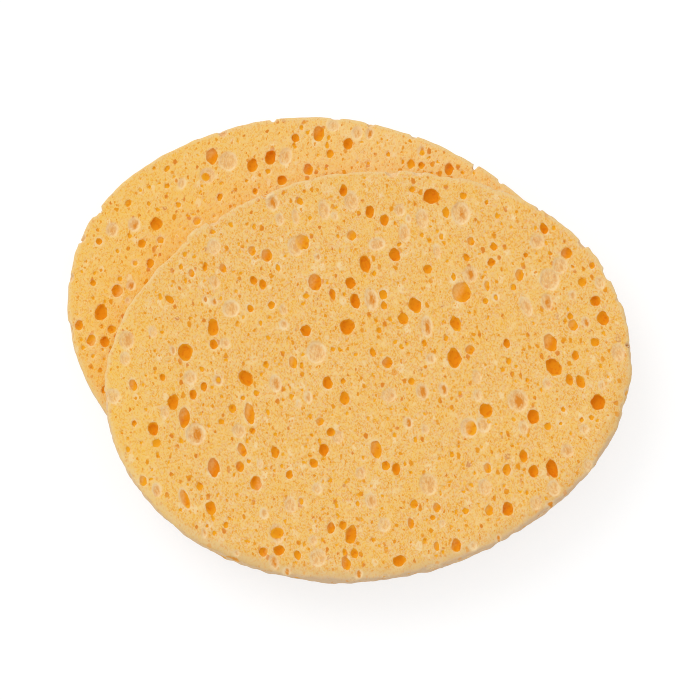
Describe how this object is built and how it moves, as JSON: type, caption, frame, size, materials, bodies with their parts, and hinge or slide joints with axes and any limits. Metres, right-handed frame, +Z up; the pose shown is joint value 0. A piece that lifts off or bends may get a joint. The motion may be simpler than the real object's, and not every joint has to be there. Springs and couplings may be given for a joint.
{
  "type": "cosmetic sponge",
  "caption": "Flat oval cellulose face sponges with open pores, lying loose one on the other, for cleansing skin and taking off make-up.",
  "frame": {"origin": "under the middle of the pair, on the surface that it rests on", "axes": "+X along the pair's longest side, +Y towards the side where the lower sponge shows, +Z up through the pads"},
  "size_m": [0.118, 0.099, 0.0163],
  "materials": {
    "cellulose_foam": "dry open-cell foam, matt, orange in its pores"
  },
  "bodies": {
    "lower": {"lower_sponge": "cellulose_foam"},
    "upper": {"upper_sponge": "cellulose_foam"}
  },
  "joints": [
    {"name": "upper_lift", "type": "slide", "parent": "lower", "child": "upper", "axis": [0, 0, 1], "range_m": [0, 0.05]}
  ]
}
